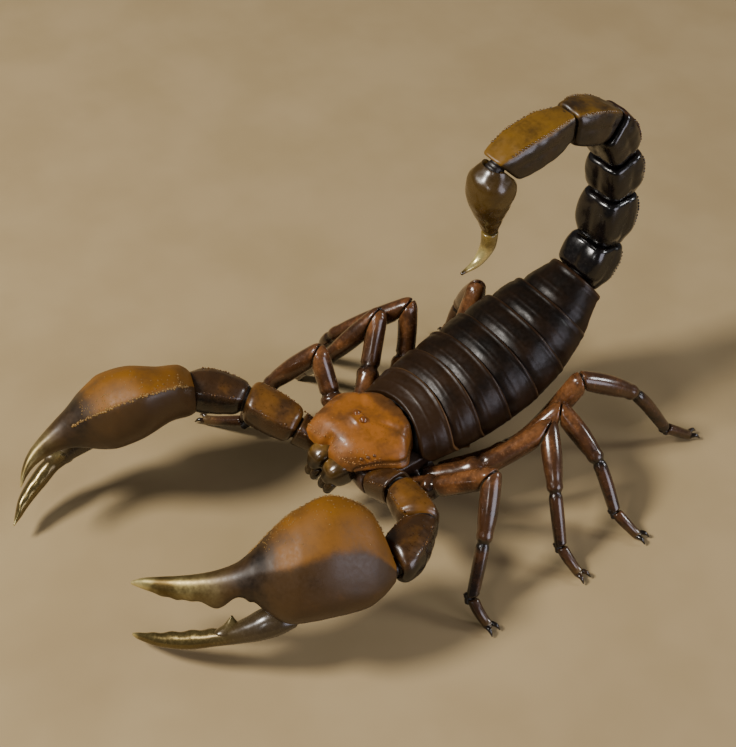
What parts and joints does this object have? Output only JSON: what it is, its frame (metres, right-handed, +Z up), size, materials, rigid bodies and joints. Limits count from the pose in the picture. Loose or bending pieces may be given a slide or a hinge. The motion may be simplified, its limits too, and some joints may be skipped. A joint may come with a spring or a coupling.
{
  "type": "scorpion",
  "caption": "Life-size scorpion standing on its legs, with both claws reaching forward and its tail arched over its back, for display as a still model.",
  "frame": {"origin": "on the floor under the middle of the animal's bounding box", "axes": "+Z up, the animal faces -Y with its tail end towards +Y, and its left side is +X"},
  "size_m": [0.073, 0.1126, 0.0667],
  "materials": {
    "carapace": "glossy amber-brown horny skin with darker furrows",
    "eyes": "wet black",
    "jaws": "glossy olive-brown horny skin",
    "coxae": "satin brown horny skin",
    "combs": "pale tan, slightly waxy",
    "back_plates": "glossy near-black horny skin with brown margins",
    "tail_dark": "glossy black horny skin with a blue-grey sheen",
    "tail_amber": "ochre outer face with dark brown flanks",
    "sting_bulb": "glossy olive-brown",
    "sting_hook": "pale brass-coloured, dark at the point",
    "arms": "ochre above, dark brown below, glossy",
    "claws": "grained ochre back, olive-brown side, brass-coloured finger",
    "claw_fingers": "grey-brown at the root, brass-coloured tip",
    "legs": "glossy red-brown, darker at the joints and feet"
  },
  "bodies": {
    "root": {"carapace": "carapace", "eye_left": "eyes", "eye_right": "eyes", "chelicera_left": "jaws", "chelicera_right": "jaws", "prosoma_underside": "coxae", "pectine_left": "combs", "pectine_right": "combs", "mesosoma_1": "back_plates", "mesosoma_2": "back_plates", "mesosoma_3": "back_plates", "mesosoma_4": "back_plates", "mesosoma_5": "back_plates", "mesosoma_6": "back_plates", "mesosoma_7": "back_plates", "tail_1": "tail_dark", "tail_2": "tail_dark", "tail_3": "tail_dark", "tail_4": "tail_dark", "tail_5": "tail_amber", "tail_6": "tail_amber", "vesicle": "sting_bulb", "sting": "sting_hook", "arm_left_trochanter": "arms", "arm_left_femur": "arms", "arm_left_patella": "arms", "arm_right_trochanter": "arms", "arm_right_femur": "arms", "arm_right_patella": "arms", "claw_left_hand": "claws", "claw_right_hand": "claws", "claw_left_movable_finger": "claw_fingers", "claw_right_movable_finger": "claw_fingers", "leg_left_1_femur": "legs", "leg_left_1_tibia": "legs", "leg_left_1_tarsus": "legs", "leg_left_2_femur": "legs", "leg_left_2_tibia": "legs", "leg_left_2_tarsus": "legs", "leg_left_3_femur": "legs", "leg_left_3_tibia": "legs", "leg_left_3_tarsus": "legs", "leg_left_4_femur": "legs", "leg_left_4_tibia": "legs", "leg_left_4_tarsus": "legs", "leg_right_1_femur": "legs", "leg_right_1_tibia": "legs", "leg_right_1_tarsus": "legs", "leg_right_2_femur": "legs", "leg_right_2_tibia": "legs", "leg_right_2_tarsus": "legs", "leg_right_3_femur": "legs", "leg_right_3_tibia": "legs", "leg_right_3_tarsus": "legs", "leg_right_4_femur": "legs", "leg_right_4_tibia": "legs", "leg_right_4_tarsus": "legs"}
  },
  "joints": []
}
